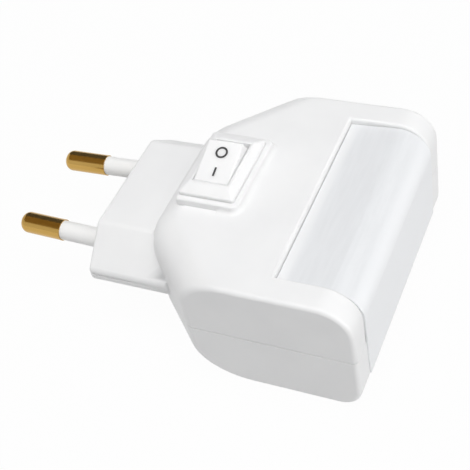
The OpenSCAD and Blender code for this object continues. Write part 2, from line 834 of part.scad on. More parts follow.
// A smooth curve through the points p, with m steps between neighbours
function curve(p, m = 4) =
    let (n = len(p))
    concat([for (i = [0:n - 2], k = [0:m - 1])
        let (t = k / m, a = p[max(i - 1, 0)], b = p[i], c = p[i + 1], d = p[min(i + 2, n - 1)])
        b + t / 2 * (c - a) + t * t / 2 * (2 * a - 5 * b + 4 * c - d)
            + t * t * t / 2 * (3 * b - a - 3 * c + d)], [p[n - 1]]);

tail_y = pin_root_gap / 2 + pin_tail_end * tan(pin_lean);
tail_x = pin_tail_end + 0.3;
blade_z = housing_end_z - blade_len - wire_d / 2 - 0.1;
pad_x = board_x0 - wire_d / 2 - 0.1;
pad_z = board_z1 - wire_d / 2;

module wire_pin_to_switch() {
    color("saddlebrown") tube(curve([
        [tail_x, tail_y, 0], [tail_x + 2, tail_y - 0.3, -0.6],
        [switch_x - 4, tail_y - 3.4, blade_z + 0.6],
        [switch_x - 2, switch_y + 2, blade_z], [switch_x, switch_y, blade_z]]), wire_d);
}

module wire_switch_to_board() {
    y = switch_y + contact_y;
    color("saddlebrown") tube(curve([
        [switch_x, y, blade_z], [switch_x + 2, y + 0.6, blade_z - 0.3],
        [pad_x - 1.6, y + 1.6, pad_z + 0.6], [pad_x, y + 2, pad_z]]), wire_d);
}

module wire_pin_to_board() {
    color("royalblue") tube(curve([
        [tail_x, -tail_y, 0], [tail_x + 2, -tail_y + 0.2, -0.8],
        [switch_x - 4, -tail_y + 1.6, pad_z], [switch_x + 1, -tail_y + 2, pad_z - 0.4],
        [pad_x - 2, -tail_y + 2, pad_z - 0.1], [pad_x, -tail_y + 2, pad_z]]), wire_d);
}

// ---- screws ---------------------------------------------------------------

module case_screws() {
    slot = [2.8, 0.6, 1.8];
    neck = 0.1;
    color("silver") at_screws() difference() {
        union() {
            translate([0, 0, head_z - screw_head_h - seam])
                cylinder(h = screw_head_h, d = screw_head_d, $fn = fine);
            translate([0, 0, head_z - seam - neck])
                cylinder(h = screw_len, d = screw_d, $fn = fine);
        }
        for (a = [0, 90]) translate([0, 0, head_z - screw_head_h]) rotate([0, 0, a])
            cube(slot, center = true);
    }
}

upper_shell();
lower_shell();
lens();
pin_bridge();
pin(1);  // pin_left
pin(-1);  // pin_right
sleeve(1);  // sleeve_left
sleeve(-1);  // sleeve_right
switch_housing();
rocker();
mark_on();
mark_off();
switch_spring();
switch_plunger();
seesaw_contact();
common_terminal();
load_terminal();
circuit_board();
led(1);  // led_left
led(0);  // led_middle
led(-1);  // led_right
led_leads();
film_capacitor();
smoothing_capacitor();
bridge_rectifier();
surge_resistor();
bleed_resistor();
wire_pin_to_switch();
wire_switch_to_board();
wire_pin_to_board();
case_screws();
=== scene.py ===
import json
import math

import bmesh
import bpy
from mathutils import Matrix, Vector


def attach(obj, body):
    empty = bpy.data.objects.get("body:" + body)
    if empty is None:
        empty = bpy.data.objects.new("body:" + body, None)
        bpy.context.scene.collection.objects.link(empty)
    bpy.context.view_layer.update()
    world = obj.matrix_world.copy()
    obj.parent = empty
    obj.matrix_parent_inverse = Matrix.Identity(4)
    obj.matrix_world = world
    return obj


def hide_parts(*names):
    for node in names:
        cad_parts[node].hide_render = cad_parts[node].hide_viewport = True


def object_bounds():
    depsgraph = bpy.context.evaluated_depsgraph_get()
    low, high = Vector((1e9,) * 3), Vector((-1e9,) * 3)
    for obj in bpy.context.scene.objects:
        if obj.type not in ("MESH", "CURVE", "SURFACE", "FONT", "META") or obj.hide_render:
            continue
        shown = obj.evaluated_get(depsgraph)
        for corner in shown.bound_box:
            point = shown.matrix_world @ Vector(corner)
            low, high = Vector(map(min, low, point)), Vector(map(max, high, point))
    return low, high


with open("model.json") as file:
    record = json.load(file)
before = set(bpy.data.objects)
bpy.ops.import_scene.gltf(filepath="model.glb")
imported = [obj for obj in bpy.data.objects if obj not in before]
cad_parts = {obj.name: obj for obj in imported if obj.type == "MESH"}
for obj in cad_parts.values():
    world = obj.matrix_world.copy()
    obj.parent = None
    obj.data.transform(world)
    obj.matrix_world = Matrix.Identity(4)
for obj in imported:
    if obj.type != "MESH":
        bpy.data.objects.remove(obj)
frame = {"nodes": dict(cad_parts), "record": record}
cad_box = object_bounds()
nodes = frame["nodes"]
MM = 0.001


# ---- selecting and shaping ---------------------------------------------------

def deselect_all():
    """Leaves edit mode and deselects every piece."""
    if bpy.context.object and bpy.context.object.mode != "OBJECT":
        bpy.ops.object.mode_set(mode="OBJECT")
    bpy.ops.object.select_all(action="DESELECT")


def take(piece):
    """Makes this piece the only selected and the active one."""
    deselect_all()
    piece.select_set(True)
    bpy.context.view_layer.objects.active = piece


def edit(piece, kind="EDGE"):
    """Opens a piece for shaping, with nothing selected."""
    take(piece)
    bpy.ops.object.mode_set(mode="EDIT")
    bpy.ops.mesh.select_mode(type=kind)
    bpy.ops.mesh.select_all(action="DESELECT")


def done():
    """Closes the piece that is being shaped."""
    bpy.ops.object.mode_set(mode="OBJECT")


def pick_edges(piece, rule):
    """Selects the edges whose middle and direction, in millimetres, satisfy the rule."""
    mesh = bmesh.from_edit_mesh(piece.data)
    for e in mesh.edges:
        a, b = e.verts[0].co / MM, e.verts[1].co / MM
        if rule((a + b) / 2, (b - a).normalized()):
            e.select_set(True)
    bmesh.update_edit_mesh(piece.data)


def pick_faces(piece, rule):
    """Selects the faces whose normal satisfies the rule."""
    mesh = bmesh.from_edit_mesh(piece.data)
    for f in mesh.faces:
        if rule(f.normal):
            f.select_set(True)
    bmesh.update_edit_mesh(piece.data)


def block(name, low, high):
    """A cube from one corner to the other, in millimetres."""
    deselect_all()
    bpy.ops.mesh.primitive_cube_add(size=1)
    piece = bpy.context.object
    piece.name = piece.data.name = name
    low, high = Vector(low) * MM, Vector(high) * MM
    size = high - low
    piece.data.transform(Matrix.Translation((low + high) / 2) @ Matrix.Diagonal(size.to_4d()))
    return piece


def rod(name, radius, low, high):
    """A cylinder from one end to the other, along X or Z, in millimetres."""
    deselect_all()
    low, high = Vector(low) * MM, Vector(high) * MM
    along_x = high.x > low.x
    bpy.ops.mesh.primitive_cylinder_add(vertices=64, radius=radius * MM,
                                        depth=(high - low).length, location=(low + high) / 2,
                                        rotation=(0, math.pi / 2 if along_x else 0, 0))
    piece = bpy.context.object
    piece.name = piece.data.name = name
    bpy.ops.object.transform_apply(location=True, rotation=True, scale=True)
    return piece


def trim(piece, at, normal):
    """Cuts away what lies beyond a plane and closes the cut."""
    edit(piece)
    bpy.ops.mesh.select_all(action="SELECT")
    bpy.ops.mesh.bisect(plane_co=Vector(at) * MM, plane_no=normal, use_fill=True,
                        clear_outer=True)
    done()


def bevel(width, segments, profile=0.5):
    """Bevels the selected edges; the width is in millimetres."""
    bpy.ops.mesh.bevel(offset=width * MM, offset_type="OFFSET", segments=segments,
                       profile=profile, affect="EDGES", clamp_overlap=False)
    done()


def round_off(piece, rule, width, segments):
    """Rounds the edges whose middle and direction satisfy the rule."""
    edit(piece)
    pick_edges(piece, rule)
    bevel(width, segments)


def meets(edge, first, second):
    """Is this the edge between a face that satisfies one rule and one that satisfies the other?"""
    if len(edge.link_faces) != 2:
        return False
    a, b = (f.normal for f in edge.link_faces)
    return (first(a) and second(b)) or (first(b) and second(a))


def round_between(piece, first, second, width, segments, where=None, profile=0.5):
    """Rounds the edges between two kinds of faces; a low profile hollows them instead."""
    edit(piece)
    mesh = bmesh.from_edit_mesh(piece.data)
    mesh.normal_update()
    for e in mesh.edges:
        middle = (e.verts[0].co + e.verts[1].co) / 2 / MM
        if meets(e, first, second) and (where is None or where(middle)):
            e.select_set(True)
    bmesh.update_edit_mesh(piece.data)
    bevel(width, segments, profile)


def use_modifier(piece, kind, **settings):
    """Adds a modifier with these settings and applies it."""
    take(piece)
    modifier = piece.modifiers.new(kind.lower(), kind)
    for key, value in settings.items():
        setattr(modifier, key, value)
    bpy.ops.object.modifier_apply(modifier=modifier.name)


def push(piece, rule, move):
    """Moves the vertices whose place in millimetres satisfies the rule."""
    edit(piece, "VERT")
    mesh = bmesh.from_edit_mesh(piece.data)
    for v in mesh.verts:
        v.select_set(bool(rule(v.co / MM)))
    bmesh.update_edit_mesh(piece.data)
    bpy.ops.transform.translate(value=Vector(move) * MM)
    done()


def combine(piece, other, operation, keep=False):
    """Joins, cuts or intersects a piece with another one, which goes unless it is kept."""
    use_modifier(piece, "BOOLEAN", object=other, operation=operation, solver="EXACT")
    if not keep:
        bpy.data.objects.remove(other)


def copy_of(piece, name):
    """A second piece with a mesh of its own."""
    new = bpy.data.objects.new(name, piece.data.copy())
    new.data.name = name
    bpy.context.scene.collection.objects.link(new)
    return new


def copy_of_node(node, name):
    """A merged copy of a CAD node's mesh, with its flat faces whole again."""
    piece = copy_of(nodes[node], name)
    piece.data.materials.clear()
    edit(piece, "VERT")
    bpy.ops.mesh.select_all(action="SELECT")
    bpy.ops.mesh.remove_doubles(threshold=0.002 * MM)
    done()
    return piece


def clean(piece):
    """Joins the crumbs that a cut leaves along its edges, and makes flat faces whole."""
    edit(piece, "VERT")
    bpy.ops.mesh.select_all(action="SELECT")
    bpy.ops.mesh.remove_doubles(threshold=0.012 * MM)
    bpy.ops.mesh.dissolve_degenerate(threshold=0.005 * MM)
    bpy.ops.mesh.dissolve_limited(angle_limit=math.radians(0.2), delimit=set())
    done()


def split_along(piece, at, normal):
    """Splits the faces at a plane, so that the soft shading of one part doesn't reach past it."""
    edit(piece, "VERT")
    bpy.ops.mesh.select_all(action="SELECT")
    bpy.ops.mesh.bisect(plane_co=Vector(at) * MM, plane_no=normal)
    done()


def smooth(piece, angle=32, splits=()):
    """Soft shading up to this angle between faces; splits are planes that it doesn't cross."""
    clean(piece)
    for at, normal in splits:
        split_along(piece, at, normal)
    take(piece)
    bpy.ops.object.shade_smooth_by_angle(angle=math.radians(angle))
    use_modifier(piece, "WEIGHTED_NORMAL", keep_sharp=True, weight=80)


# ---- sizes, in millimetres ------------------------------------------------------

SKIN = 0.02                      # the modelled skins lie this far inside the solids
SNUG = 0.09                      # how much the lens and the rocker fill of the gaps round them

BACK, FRONT = 11.4, 51.6         # lamp body: its back wall and its front
HALF_W, TOP = 24.1, 11.6
TAPER_Y, TAPER_R = 13.1, 3.3     # where the tapers leave the back wall, and the corner there
BACK_TOP_R, BACK_FOOT_R = 5.6, 7.0
NOSE_R, TOE_R = 6.0, 4.0         # top and bottom of the front
SIDE_R = 0.8                     # all round the two end faces
PARTING_ABOVE, PARTING_BELOW = 0.26, 0.06    # chamfers of the two shells where they meet

PLUG_Y, PLUG_Z = 17.65, 6.85     # plug body: half its width and height
PLUG_FLAT_Y, PLUG_STRIP_Z = 11.0, 1.15       # where its slopes begin and end
PLUG_R, PLUG_COVE = 0.6, 0.9     # its rounded edges, and the hollow fillet at its root
PLUG_ROOT = 11                   # just short of that fillet

WINDOW_X, WINDOW_Y, WINDOW_Z = 37.4, 19.1, -8.4      # back, side and bottom edges
WINDOW_R = 0.5

LENS_GAP = 0.1
LENS_DIP, LENS_RISE = 1.1, 0.825             # its back edge below the top, its climb from there
LENS_NOSE_R, LENS_R = 5.35, 0.22
FLANGE_LOW, FLANGE_HIGH = (35.6, -20.7, -9.4), (49.55, 20.7, 9.5)    # its hidden flange
FLANGE_R = 3.9

SWITCH_X, SWITCH_Y = 20.6, 0.8
PANEL_Z, RIM_Z, PIVOT_Z = 12.9, 14.4, 11.6   # plinth's top, bezel's top and the rocker's axis
PLINTH_BACK, PLINTH_FRONT, PLINTH_Y = 5.4, 6.1, 8.8  # its edges, from the switch's centre
PLINTH_BACK_R, PLINTH_FRONT_R, PLINTH_TOP_R = 0.6, 1.4, 0.32
PLINTH_COVE = 0.85
COVE_FADE_X = SWITCH_X + 2.2     # from here on the plinth's hollow fillet fades in

BEZEL_X, BEZEL_Y = 5.1, 7.8      # half sizes of the bezel's foot
BEZEL_FOOT, BEZEL_SLOPE = 0.7, 0.8           # heights of its upright foot and its slope
BEZEL_CORNER_R, BEZEL_FOOT_R, CREST_R = 0.45, 0.16, 0.2
CREST_X, CREST_Y = 3.75, 5.75    # half sizes of its top, its opening and the neck below
OPENING_X, OPENING_Y = 3.25, 5.25
NECK_X, NECK_Y = 4.4, 6.6

ROCKER_TILT, ROCKER_DISH = 17, 1             # degrees
ROCKER_X, ROCKER_REACH = 3.1, 4.15           # half its width, and valley to crest along it
ROCKER_VALLEY, ROCKER_END_R = 4.0, 5.05      # from its axis
ROCKER_UNDER = 9                 # degrees that its round ends go on below the axis
ROCKER_R = 0.24
STUB_R, STEM_R = 1.2, 2.2


# What kind of face a normal belongs to

def up(n):
    return n.z > 0.99


def down(n):
    return n.z < -0.99


def backward(n):
    return n.x < -0.5 and abs(n.z) < 0.01


def forward(n):
    return n.x > 0.99


def sideways(n):
    return abs(n.y) > 0.995


def anything(n):
    return True


# ---- case -----------------------------------------------------------------------

def model_body():
    """The lamp body, which gets its width and length once its back edges are rounded."""
    s = SKIN
    body = block("body_skin", (BACK + s, -70, -TOP + s), (95, 70, TOP - s))
    for side in (-1, 1):
        trim(body, (BACK + s * 1.4, side * TAPER_Y, 0), (-1, side, 0))
    round_off(body, lambda m, d: abs(d.z) > 0.9 and m.x < 30, TAPER_R, 16)
    round_between(body, up, backward, BACK_TOP_R, 14)
    round_between(body, down, backward, BACK_FOOT_R, 16)
    for side in (-1, 1):
        trim(body, (0, side * (HALF_W - s), 0), (0, side, 0))
    trim(body, (FRONT - s, 0, 0), (1, 0, 0))
    round_between(body, up, forward, NOSE_R, 20)
    round_between(body, down, forward, TOE_R, 14)
    round_between(body, sideways, lambda n: not sideways(n), SIDE_R, 6)
    return body


def model_plug(s=SKIN):
    """The plug body, with each of its faces moved in by s."""
    plug = block("plug_skin", (s, -PLUG_Y + s, -PLUG_Z + s), (18, PLUG_Y - s, PLUG_Z - s))
    slope = Vector((0, PLUG_Z - PLUG_STRIP_Z, PLUG_Y - PLUG_FLAT_Y)).normalized()
    for y in (-1, 1):
        for z in (-1, 1):
            out = Vector((0, y * slope.y, z * slope.z))
            trim(plug, Vector((0, y * PLUG_FLAT_Y, z * PLUG_Z)) - out * s, out)
    round_off(plug, lambda m, d: abs(d.x) > 0.9, PLUG_R, 6)
    round_between(plug, lambda n: n.x < -0.99, anything, PLUG_R, 5)
    return plug


def at_plinth_front(m, d):
    """Is this one of the two upright edges at the plinth's front?"""
    return abs(d.z) > 0.9 and m.x > SWITCH_X


def at_plinth_back(m, d):
    """Is this one of the two upright edges at the plinth's back?"""
    return abs(d.z) > 0.9 and m.x < SWITCH_X - 3


def model_plinth():
    """The raised seat of the switch, which runs down into the lamp body."""
    s = SKIN
    x0, x1 = SWITCH_X - PLINTH_BACK + s, SWITCH_X + PLINTH_FRONT - s
    y0, y1 = SWITCH_Y - PLINTH_Y + s, SWITCH_Y + PLINTH_Y - s
    plinth = block("plinth_skin", (x0, y0, 8), (x1, y1, PANEL_Z - s))
    round_off(plinth, at_plinth_front, PLINTH_FRONT_R, 8)
    round_off(plinth, at_plinth_back, PLINTH_BACK_R, 5)
    round_between(plinth, up, anything, PLINTH_TOP_R, 4)
    return plinth


def round_window(skin):
    """Softens the casing's edge round the back and sides of the window."""
    edit(skin)
    mesh = bmesh.from_edit_mesh(skin.data)
    mesh.normal_update()
    for e in mesh.edges:
        m = (e.verts[0].co + e.verts[1].co) / 2 / MM
        at_side = m.x > WINDOW_X + 0.1 and abs(abs(m.y) - WINDOW_Y) < 0.06 and meets(
            e, lambda n: abs(n.y) > 0.99, lambda n: abs(n.y) < 0.1 and n.z > -0.01)
        at_back = abs(m.x - WINDOW_X) < 0.06 and meets(e, up, forward)
        if at_side or at_back:
            e.select_set(True)
    bmesh.update_edit_mesh(skin.data)
    bevel(WINDOW_R, 6)


def model_case_skin():
    """Body, plug and plinth in one, with the window for the lens."""
    skin = model_body()
    combine(skin, model_plug(), "UNION")
    combine(skin, model_plinth(), "UNION")
    s = SKIN
    pocket = block("window_pocket", (WINDOW_X - s, -WINDOW_Y - s, WINDOW_Z - s),
                   (80, WINDOW_Y + s, 60))
    combine(skin, pocket, "DIFFERENCE")
    round_window(skin)
    return skin


case_skin = model_case_skin()


def model_shell(node, name):
    """The CAD shell, trimmed by the smooth skin outside and left as it is inside."""
    shell = copy_of_node(node, name)
    combine(shell, case_skin, "INTERSECT", keep=True)
    return shell


def chamfer_parting(shell, width):
    """A fine chamfer along the outside of the joint between the two shells."""
    clean(shell)
    edit(shell)
    mesh = bmesh.from_edit_mesh(shell.data)
    mesh.normal_update()
    for e in mesh.edges:
        a, b = (v.co / MM for v in e.verts)
        if abs(a.z) > 0.005 or abs(b.z) > 0.005 or len(e.link_faces) != 2:
            continue
        m = (a + b) / 2
        side = next((f for f in e.link_faces if abs(f.normal.z) < 0.5), None)
        if side is not None and is_outside(m, side.normal):
            e.select_set(True)
    bmesh.update_edit_mesh(shell.data)
    bevel(width, 1)


def is_outside(m, n):
    """Does this place of the parting plane lie on the casing's outer face, which looks along n?"""
    y = abs(m.y)
    at_plug_face = m.x < 0.1
    at_plug_or_taper = y > PLUG_Y - 0.1 and m.x < BACK + 6
    at_end_face = y > HALF_W - 1.2
    if at_plug_face:
        return n.x < -0.9
    if at_end_face or at_plug_or_taper:
        in_window = m.x > WINDOW_X and n.x > 0.5 and y < WINDOW_Y + 0.3
        return n.y * m.y > 0 and not in_window
    return m.x > FRONT - 0.9 and n.x > 0.3


def model_back_wall(x):
    """The lamp body's back wall and tapers as a plain wall whose face lies at x."""
    wall = block("back_wall", (x, -30, -9), (22, 30, 9))
    for side in (-1, 1):
        trim(wall, (x + SKIN * 0.4, side * TAPER_Y, 0), (-1, side, 0))
    round_off(wall, lambda m, d: abs(d.z) > 0.9 and m.x < BACK + 3, 3.03, 16)
    return wall


def model_plug_cove():
    """The hollow fillet where the plug body runs into the lamp body."""
    s, depth = SKIN * 1.6, 1.2
    cove = model_back_wall(BACK + s)
    combine(cove, model_plug(s), "UNION")
    round_between(cove, lambda n: abs(n.x) < 0.05, lambda n: n.x < -0.4 and abs(n.z) < 0.05,
                  PLUG_COVE, 6,
                  where=lambda m: abs(m.z) < PLUG_Z + 0.1 and abs(m.y) < PLUG_Y + 0.1)
    combine(cove, model_plug(depth), "DIFFERENCE")
    combine(cove, model_back_wall(BACK + depth), "DIFFERENCE")
    combine(cove, model_plug(-PLUG_COVE - 0.02), "INTERSECT")
    trim(cove, (BACK - 1.5, 0, 0), (-1, 0, 0))
    return cove


def model_plinth_cove():
    """The hollow fillet at the front of the plinth's foot, which fades out round the corners."""
    width = PLINTH_COVE
    x0, x1 = SWITCH_X - PLINTH_BACK, SWITCH_X + PLINTH_FRONT
    y0, y1 = SWITCH_Y - PLINTH_Y, SWITCH_Y + PLINTH_Y
    cove = block("plinth_cove", (x0 - width, y0 - width, TOP - 1),
                 (x1 + width, y1 + width, TOP - SKIN + width))
    round_off(cove, at_plinth_front, PLINTH_FRONT_R + width, 10)
    round_off(cove, at_plinth_back, PLINTH_BACK_R + width, 8)
    round_between(cove, up, anything, width, 6, profile=0.086)
    core = block("plinth_core", (x0 + 0.5, y0 + 0.5, TOP - 2), (x1 - 0.5, y1 - 0.5, TOP + 2))
    combine(cove, core, "DIFFERENCE")
    trim(cove, (COVE_FADE_X, 0, TOP), (-1, 0, 4))
    return cove


upper = model_shell("upper_shell", "case_upper")
lower = model_shell("lower_shell", "case_lower")
bpy.data.objects.remove(case_skin)
combine(upper, model_plinth_cove(), "UNION")
plug_cove = model_plug_cove()
for shell, side in ((upper, 1), (lower, -1)):
    half = copy_of(plug_cove, "cove_half")
    trim(half, (0, 0, 0), (0, 0, -side))
    combine(shell, half, "UNION")
bpy.data.objects.remove(plug_cove)
AT_PLUG_ROOT = ((PLUG_ROOT, 0, 0), (1, 0, 0))
AT_PLINTH = (((SWITCH_X - PLINTH_BACK - 0.25, 0, 0), (1, 0, 0)),
             ((COVE_FADE_X - 0.2, 0, 0), (1, 0, 0)),
             ((0, SWITCH_Y - PLINTH_Y - 0.25, 0), (0, 1, 0)),
             ((0, SWITCH_Y + PLINTH_Y + 0.25, 0), (0, 1, 0)))
for shell, node, parting, splits in (
        (upper, "upper_shell", PARTING_ABOVE, (AT_PLUG_ROOT,) + AT_PLINTH),
        (lower, "lower_shell", PARTING_BELOW, (AT_PLUG_ROOT,))):
    chamfer_parting(shell, parting)
    smooth(shell, splits=splits)
    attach(shell, "case")
    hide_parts(node)


# ---- lens -----------------------------------------------------------------------

def model_lens():
    """The pane in the window as a smooth skin, with its hidden flange left as it is."""
    s = SKIN
    x0, x1 = WINDOW_X + LENS_GAP + s, FRONT + 0.2 - s
    y, z0 = WINDOW_Y - LENS_GAP - s, WINDOW_Z + LENS_GAP + s
    pane = block("pane_skin", (x0, -y, z0), (x1, y, TOP))
    rise = Vector((x1 - x0, 0, LENS_RISE)).normalized()
    trim(pane, (x0, 0, TOP - LENS_DIP - s), (-rise.z, 0, rise.x))
    round_between(pane, lambda n: n.z > 0.9, forward, LENS_NOSE_R, 28)
    round_between(pane, sideways, lambda n: n.x > 0.01 or n.z > 0.01, LENS_R, 3)
    round_between(pane, lambda n: n.z > 0.9, lambda n: n.x < -0.99, LENS_R, 3)
    zone = block("flange_zone", FLANGE_LOW, FLANGE_HIGH)
    round_between(zone, up, forward, FLANGE_R, 20)
    combine(pane, zone, "UNION")
    lens = copy_of_node("lens", "lens_cover")
    combine(lens, pane, "INTERSECT")
    edge = LENS_R + 0.02
    push(lens, lambda v: v.x < x0 + edge and v.z > FLANGE_HIGH[2] + 0.1, (-SNUG, 0, 0))
    for side in (-1, 1):
        push(lens, lambda v: y - edge < side * v.y < y + 0.01, (0, side * SNUG, 0))
    smooth(lens)
    return lens


lens_cover = model_lens()
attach(lens_cover, "case")
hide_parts("lens")


# ---- switch ---------------------------------------------------------------------

def about_switch(name, x, y, low, high):
    """A block centred on the switch, with these half sizes, from low to high."""
    return block(name, (SWITCH_X - x, SWITCH_Y - y, low), (SWITCH_X + x, SWITCH_Y + y, high))


def model_bezel():
    """The bezel as a smooth skin, with the switch's body below the panel left as it is."""
    s = SKIN
    x, y = BEZEL_X - s, BEZEL_Y - s
    bezel = about_switch("bezel_skin", x, y, PANEL_Z + 0.02 + s, PANEL_Z + BEZEL_FOOT - s)
    round_off(bezel, lambda m, d: abs(d.z) > 0.9, BEZEL_CORNER_R, 5)
    edit(bezel, "FACE")
    pick_faces(bezel, up)
    bpy.ops.mesh.extrude_region_move(
        TRANSFORM_OT_translate={"value": (0, 0, BEZEL_SLOPE * MM)})
    centre = Vector((SWITCH_X, SWITCH_Y, RIM_Z)) * MM
    bpy.ops.transform.resize(value=((CREST_X - s) / x, (CREST_Y - s) / y, 1),
                             center_override=centre)
    done()
    round_between(bezel, lambda n: abs(n.z) < 0.01, lambda n: 0.5 < n.z < 0.99,
                  BEZEL_FOOT_R, 4)
    round_between(bezel, up, anything, CREST_R, 4)
    opening = about_switch("bezel_opening", OPENING_X + s, OPENING_Y + s, PANEL_Z - 1, RIM_Z + 2)
    combine(bezel, opening, "DIFFERENCE")
    below = about_switch("below_panel", 8, 9, -12, PANEL_Z + 0.01)
    combine(below, about_switch("neck", NECK_X, NECK_Y, PANEL_Z - 1, PANEL_Z + 0.3), "UNION")
    combine(bezel, below, "UNION")
    housing = copy_of_node("switch_housing", "switch_frame")
    combine(housing, bezel, "INTERSECT")
    smooth(housing)
    return housing


def model_rocker():
    """The rocker's cap as a smooth skin about its axis, set in place and tilted at the end."""
    s = SKIN
    half_w, reach = ROCKER_X - s, ROCKER_REACH - s
    valley, end_r = ROCKER_VALLEY - s, ROCKER_END_R - s
    crest = valley + reach * math.tan(math.radians(ROCKER_DISH))
    cap = block("rocker_skin", (-half_w, -end_r, -3.5), (half_w, end_r, crest))
    bend = math.degrees(math.atan2(crest, reach) - math.acos(end_r / math.hypot(crest, reach)))
    steps = 8
    for side in (-1, 1):
        for step in range(steps + 1):
            a = math.radians(bend - (bend + ROCKER_UNDER) * step / steps)
            y, z = math.cos(a), math.sin(a)
            trim(cap, (0, side * y * end_r, z * end_r), (0, side * y, z))
    edit(cap)
    bpy.ops.mesh.select_all(action="SELECT")
    bpy.ops.mesh.bisect(plane_co=(0, 0, 0), plane_no=(0, 1, 0))
    bpy.ops.mesh.select_all(action="DESELECT")
    pick_edges(cap, lambda m, d: abs(m.y) < 0.01 and m.z > crest - 0.05)
    bpy.ops.transform.translate(value=(0, 0, (valley - crest) * MM))
    done()
    round_between(cap, up, lambda n: n.z < 0.9, ROCKER_R, 8)
    round_between(cap, lambda n: abs(n.x) > 0.99, lambda n: abs(n.y) > 0.5, ROCKER_R, 8)
    stubs = rod("stubs", STUB_R, (-6, 0, 0), (6, 0, 0))
    combine(cap, stubs, "UNION")
    stem = rod("stem", STEM_R, (0, 0, -6), (0, 0, 0))
    combine(cap, stem, "UNION")
    cap.data.transform(Matrix.Translation(Vector((SWITCH_X, SWITCH_Y, PIVOT_Z)) * MM)
                       @ Matrix.Rotation(math.radians(ROCKER_TILT), 4, "X"))
    rocker = copy_of_node("rocker", "rocker_cap")
    combine(rocker, cap, "INTERSECT")
    edge = ROCKER_R + 0.02
    for side in (-1, 1):
        push(rocker, lambda v: half_w - edge < side * (v.x - SWITCH_X) < half_w + 0.01,
             (side * SNUG, 0, 0))
    smooth(rocker, 20)
    return rocker


switch_frame = model_bezel()
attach(switch_frame, "case")
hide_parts("switch_housing")
rocker_cap = model_rocker()
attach(rocker_cap, "rocker")
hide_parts("rocker")


# ---- finishes -------------------------------------------------------------------

def new_finish(name):
    """A material with a Principled shader; returns it, its node tree and the shader."""
    finish = bpy.data.materials.new(name)
    finish.use_nodes = True
    tree = finish.node_tree
    tree.nodes.clear()
    output = tree.nodes.new("ShaderNodeOutputMaterial")
    shader = tree.nodes.new("ShaderNodeBsdfPrincipled")
    tree.links.new(shader.outputs["BSDF"], output.inputs["Surface"])
    return finish, tree, shader


def place_of(tree, stretch=(1, 1, 1)):
    """Object coordinates, stretched along an axis for brushed and drawn surfaces."""
    coords = tree.nodes.new("ShaderNodeTexCoord")
    mapping = tree.nodes.new("ShaderNodeMapping")
    mapping.inputs["Scale"].default_value = stretch
    tree.links.new(coords.outputs["Object"], mapping.inputs["Vector"])
    return mapping.outputs["Vector"]


def noise(tree, place, size, detail=3.0):
    """Noise with features of about the given size in millimetres."""
    node = tree.nodes.new("ShaderNodeTexNoise")
    node.inputs["Scale"].default_value = 1 / (size * MM)
    node.inputs["Detail"].default_value = detail
    tree.links.new(place, node.inputs["Vector"])
    return node.outputs["Fac"]


def ramp(tree, value, stops):
    """A colour ramp from (position, colour) stops."""
    node = tree.nodes.new("ShaderNodeValToRGB")
    elements = node.color_ramp.elements
    while len(elements) < len(stops):
        elements.new(0.5)
    for element, (position, colour) in zip(elements, stops):
        element.position = position
        element.color = (*colour, 1)
    tree.links.new(value, node.inputs["Fac"])
    return node.outputs["Color"]


def spread(tree, value, low, high):
    """Turns noise into a number between low and high."""
    node = tree.nodes.new("ShaderNodeMapRange")
    node.inputs["From Min"].default_value = 0.3
    node.inputs["From Max"].default_value = 0.7
    node.inputs["To Min"].default_value = low
    node.inputs["To Max"].default_value = high
    tree.links.new(value, node.inputs["Value"])
    return node.outputs["Result"]


def bumps(tree, value, depth):
    """Relief of the given depth in millimetres."""
    node = tree.nodes.new("ShaderNodeBump")
    node.inputs["Strength"].default_value = 1.0
    node.inputs["Distance"].default_value = depth * MM
    tree.links.new(value, node.inputs["Height"])
    return node.outputs["Normal"]


def surface(name, colour, shade, patch, roughness, grain, relief, stretch=(1, 1, 1),
            metallic=0.0, specular=0.5, milky=0.0):
    """A finish whose colour drifts in patches, with a fine grain in its relief and gloss.

    Milky is the share of the light that wanders through the plastic before it leaves again.
    """
    finish, tree, shader = new_finish(name)
    place = place_of(tree, stretch)
    drift = noise(tree, place, patch)
    fine = noise(tree, place, grain, 4.0)
    tree.links.new(ramp(tree, drift, ((0.3, shade), (0.7, colour))), shader.inputs["Base Color"])
    tree.links.new(spread(tree, fine, *roughness), shader.inputs["Roughness"])
    tree.links.new(bumps(tree, fine, relief), shader.inputs["Normal"])
    shader.inputs["Metallic"].default_value = metallic
    shader.inputs["Specular IOR Level"].default_value = specular
    shader.inputs["Subsurface Weight"].default_value = milky
    shader.inputs["Subsurface Radius"].default_value = (1, 1, 1)
    shader.inputs["Subsurface Scale"].default_value = 1.2 * MM
    return finish


def paint(piece, finish):
    """Gives a piece this finish and no other."""
    piece.data.materials.clear()
    piece.data.materials.append(finish)


# Paler bands across the lens: where each begins and is full along X, its share and its colour. The
# front band is a painted highlight: a paler front that stands in for the light falling on it.
PALE_AND_PAINTED_LIGHT_BANDS = (
    (WINDOW_X + 2.6, WINDOW_X + 1.0, 0.7, (0.86, 0.865, 0.87, 1)),      # doubled back edge
    # painted highlight: the front of the lens is made paler in its colour, in place of light
    # falling on it
    (FRONT - 2.4, FRONT - 0.2, 1.0, (0.9, 0.91, 0.925, 1)),             # front
)


